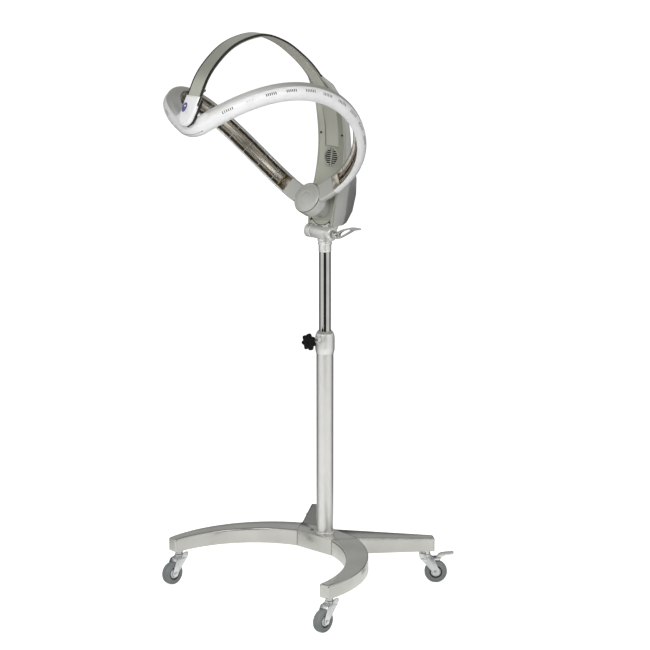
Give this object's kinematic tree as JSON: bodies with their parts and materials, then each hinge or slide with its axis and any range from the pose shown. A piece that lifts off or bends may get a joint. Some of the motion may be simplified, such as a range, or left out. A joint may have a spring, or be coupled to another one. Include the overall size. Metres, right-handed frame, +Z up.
{
  "type": "hair color processor",
  "caption": "Wheeled salon hair color processor: a pair of infrared half rings orbiting under an arched band on a height-adjustable column",
  "frame": {"origin": "on the floor under the column's axis", "axes": "+Z up, -Y toward the client the ring reaches over, +X to the side of the tilt lever"},
  "size_m": [0.6388, 0.8034, 1.6168],
  "materials": {
    "silver_paint": "satin silver metallic",
    "bright_paint": "satin light silver",
    "white_gloss": "pearl white gloss",
    "grey_plastic": "satin grey",
    "dark_plastic": "matt black",
    "chrome": "polished",
    "steel": "zinc plated",
    "aluminium": "cast, satin",
    "rubber": "grey rubber",
    "lens": "violet tinted",
    "quartz": "quartz tube",
    "gold": "gold anodised",
    "reflector": "bright rolled"
  },
  "bodies": {
    "stand": {"base_hub": "silver_paint", "base_hub_bolt": "dark_plastic", "front_legs": "silver_paint", "rear_legs": "silver_paint", "leg_end_caps": "grey_plastic", "caster_stems": "dark_plastic", "column_foot_ring": "silver_paint", "lower_column": "silver_paint", "column_collar": "aluminium", "guide_bush": "dark_plastic"},
    "knob": {"height_knob": "dark_plastic", "height_knob_screw": "steel"},
    "mast": {"mast_tube": "chrome", "mast_guide": "dark_plastic"},
    "swivel_head": {"swivel_sleeve": "aluminium", "tilt_knuckle": "aluminium"},
    "head": {"tilt_ears": "aluminium", "tilt_pin": "steel", "spine_front_cover": "bright_paint", "spine_rear_shell": "grey_plastic", "spine_screws": "steel", "fan_grille": "grey_plastic", "fan_frame": "dark_plastic", "hub_carrier": "grey_plastic", "ring_motor": "steel", "arch_outer_shell": "bright_paint", "arch_inner_shell": "bright_paint", "arch_edge_trims": "dark_plastic", "arch_end_cap": "white_gloss", "sensor_window": "lens", "front_pivot_pin": "steel", "arch_sensor": "dark_plastic"},
    "lever": {"tilt_lever": "aluminium"},
    "fan": {"fan_rotor": "dark_plastic"},
    "ring": {"ring_front_shells": "white_gloss", "ring_rear_shells": "grey_plastic", "ring_reflectors": "reflector", "ring_heater_tubes": "quartz", "ring_guard_wires": "steel", "ring_end_plates": "gold", "ring_nose": "white_gloss", "ring_hub": "bright_paint", "ring_hub_cover": "bright_paint"},
    "caster_front_right": {"caster_fork_front_right": "steel"},
    "wheel_front_right": {"caster_tyre_front_right": "rubber", "caster_core_front_right": "grey_plastic"},
    "caster_front_left": {"caster_fork_front_left": "steel"},
    "wheel_front_left": {"caster_tyre_front_left": "rubber", "caster_core_front_left": "grey_plastic"},
    "caster_rear_right": {"caster_fork_rear_right": "steel"},
    "wheel_rear_right": {"caster_tyre_rear_right": "rubber", "caster_core_rear_right": "grey_plastic"},
    "pedal_rear_right": {"brake_pedal_rear_right": "steel"},
    "caster_rear_left": {"caster_fork_rear_left": "steel"},
    "wheel_rear_left": {"caster_tyre_rear_left": "rubber", "caster_core_rear_left": "grey_plastic"},
    "pedal_rear_left": {"brake_pedal_rear_left": "steel"}
  },
  "joints": [
    {"name": "height_slide", "type": "slide", "parent": "stand", "child": "mast", "axis": [0, 0, 1], "range_m": [-0.225, 0.26]},
    {"name": "knob_turn", "type": "hinge", "parent": "stand", "child": "knob", "pos_m": [0, -0.06, 0.722], "axis": [0, -1, 0], "range_deg": [-180, 180]},
    {"name": "head_swivel", "type": "hinge", "parent": "mast", "child": "swivel_head", "pos_m": [0, 0, 0.99], "axis": [0, 0, 1], "range_deg": [-170, 170]},
    {"name": "head_tilt", "type": "hinge", "parent": "swivel_head", "child": "head", "pos_m": [0, -0.018, 1.031], "axis": [1, 0, 0], "range_deg": [-15, 25]},
    {"name": "tilt_lever_turn", "type": "hinge", "parent": "head", "child": "lever", "pos_m": [0.06, -0.018, 1.031], "axis": [1, 0, 0], "range_deg": [-30, 30]},
    {"name": "ring_orbit", "type": "hinge", "parent": "head", "child": "ring", "pos_m": [0, -0.06, 1.13], "axis": [0, -0.8685, 0.4957], "continuous": true},
    {"name": "fan_spin", "type": "hinge", "parent": "head", "child": "fan", "pos_m": [0, 0.0246, 1.239], "axis": [0, 0.9919, -0.1271], "continuous": true},
    {"name": "caster_swivel_front_right", "type": "hinge", "parent": "stand", "child": "caster_front_right", "pos_m": [0.298, -0.296, 0.09], "axis": [0, 0, 1], "continuous": true},
    {"name": "wheel_spin_front_right", "type": "hinge", "parent": "caster_front_right", "child": "wheel_front_right", "pos_m": [0.29894, -0.32298, 0.0325], "axis": [0.9994, 0.0349, 0], "continuous": true},
    {"name": "caster_swivel_front_left", "type": "hinge", "parent": "stand", "child": "caster_front_left", "pos_m": [-0.298, -0.296, 0.09], "axis": [0, 0, 1], "continuous": true},
    {"name": "wheel_spin_front_left", "type": "hinge", "parent": "caster_front_left", "child": "wheel_front_left", "pos_m": [-0.29894, -0.32298, 0.0325], "axis": [0.9994, -0.0349, 0], "continuous": true},
    {"name": "caster_swivel_rear_right", "type": "hinge", "parent": "stand", "child": "caster_rear_right", "pos_m": [0.219, 0.194, 0.09], "axis": [0, 0, 1], "continuous": true},
    {"name": "wheel_spin_rear_right", "type": "hinge", "parent": "caster_rear_right", "child": "wheel_rear_right", "pos_m": [0.23875, 0.21241, 0.0325], "axis": [-0.682, 0.7314, 0], "continuous": true},
    {"name": "brake_pedal_rear_right", "type": "hinge", "parent": "caster_rear_right", "child": "pedal_rear_right", "pos_m": [0.24313, 0.21651, 0.0725], "axis": [-0.682, 0.7314, 0], "range_deg": [0, 20]},
    {"name": "caster_swivel_rear_left", "type": "hinge", "parent": "stand", "child": "caster_rear_left", "pos_m": [-0.219, 0.194, 0.09], "axis": [0, 0, 1], "continuous": true},
    {"name": "wheel_spin_rear_left", "type": "hinge", "parent": "caster_rear_left", "child": "wheel_rear_left", "pos_m": [-0.24238, 0.2075, 0.0325], "axis": [-0.5, -0.866, 0], "continuous": true},
    {"name": "brake_pedal_rear_left", "type": "hinge", "parent": "caster_rear_left", "child": "pedal_rear_left", "pos_m": [-0.24758, 0.2105, 0.0725], "axis": [-0.5, -0.866, 0], "range_deg": [0, 20]}
  ]
}
